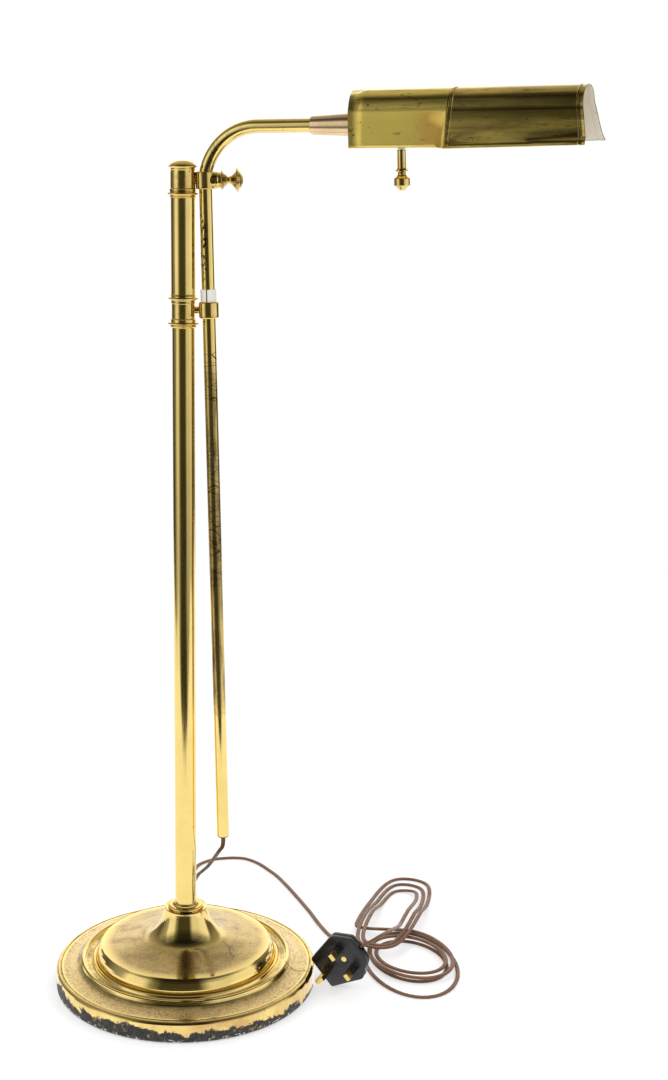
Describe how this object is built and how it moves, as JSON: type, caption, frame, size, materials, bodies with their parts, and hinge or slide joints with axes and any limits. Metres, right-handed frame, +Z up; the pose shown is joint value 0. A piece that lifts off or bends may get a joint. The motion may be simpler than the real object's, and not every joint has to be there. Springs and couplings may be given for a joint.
{
  "type": "bridge floor lamp",
  "caption": "Bridge floor lamp: weighted spun base, upright, sliding and swinging bent arm, swivelling trough shade, turn switch, coiled flex with plug.",
  "frame": {"origin": "centre of the base's underside, on the floor", "axes": "+Z up along the upright; +X from the upright towards the sliding rod; the arm points between +X and -Y"},
  "size_m": [0.4491, 0.4217, 0.7964],
  "materials": {
    "polished_brass": "polished, with tarnish specks",
    "aged_brass": "aged, streaked",
    "copper_brass": "polished, copper toned",
    "plated_steel": "satin",
    "iron": "rough casting",
    "felt": "matt felt",
    "white_nylon": "satin",
    "black_plastic": "moulded, semi-gloss",
    "brown_flex": "semi-gloss",
    "lamp_cap": "satin",
    "frosted_glass": "frosted",
    "ceramic": "glazed",
    "fibre": "matt"
  },
  "bodies": {
    "stand": {"base_pad": "felt", "base_weight": "iron", "base_shell": "polished_brass", "base_washer": "plated_steel", "base_nut": "plated_steel", "tie_rod": "plated_steel", "neck_ring": "polished_brass", "post_tube": "polished_brass", "lower_collar": "polished_brass", "upper_tube": "polished_brass", "upper_collar": "polished_brass", "top_cap": "polished_brass", "lower_eye": "polished_brass", "nylon_bush": "white_nylon", "upper_eye": "polished_brass", "cord_free": "brown_flex", "cord_coil": "brown_flex", "plug_base": "black_plastic", "plug_cover": "black_plastic", "plug_screw": "polished_brass", "live_pins": "polished_brass", "earth_pin": "polished_brass", "pin_sleeves": "black_plastic", "plug_fuse": "ceramic", "cord_clamp": "fibre"},
    "clamp_ring": {"clamp_collar": "aged_brass"},
    "clamp_screw": {"screw_shank": "polished_brass", "thumb_screw": "polished_brass"},
    "rod_end": {"rod_grommet": "black_plastic"},
    "arm": {"rod_tube": "aged_brass", "arm_tube": "aged_brass", "inner_flex": "brown_flex", "arm_ferrule": "copper_brass"},
    "shade": {"swivel_ring": "polished_brass", "swivel_nipple": "plated_steel", "swivel_nut": "plated_steel", "end_plate": "aged_brass", "shade_housing": "aged_brass", "shade_hood": "aged_brass", "socket_cup": "polished_brass", "lampholder": "black_plastic", "bulb_cap": "lamp_cap", "bulb_glass": "frosted_glass", "switch_body": "black_plastic", "switch_bush": "white_nylon"},
    "switch": {"switch_knob": "polished_brass"}
  },
  "joints": [
    {"name": "clamp_travel", "type": "slide", "parent": "stand", "child": "clamp_ring", "axis": [0.9997, 0, 0.0262], "range_m": [0, 0.002]},
    {"name": "clamp_turn", "type": "hinge", "parent": "clamp_ring", "child": "clamp_screw", "pos_m": [0.01849, 0, 0.71705], "axis": [0.9997, 0, 0.0262], "range_deg": [0, 900]},
    {"name": "arm_height", "type": "slide", "parent": "stand", "child": "rod_end", "axis": [-0.0262, 0, 0.9997], "range_m": [0, 0.4]},
    {"name": "arm_swing", "type": "hinge", "parent": "rod_end", "child": "arm", "pos_m": [0.03727, 0, 0], "axis": [-0.0262, 0, 0.9997], "range_deg": [-86, 129]},
    {"name": "shade_turn", "type": "hinge", "parent": "arm", "child": "shade", "pos_m": [0.06163, -0.01744, 0.76109], "axis": [0.9299, -0.3665, 0.0296], "range_deg": [-90, 90]},
    {"name": "switch_turn", "type": "hinge", "parent": "shade", "child": "switch", "pos_m": [0.17583, -0.06245, 0.76472], "axis": [-0.0445, -0.0322, 0.9985], "continuous": true}
  ],
  "couplings": [
    {"joint": "clamp_turn", "follows": "clamp_travel", "rad_per_m": 7854}
  ]
}
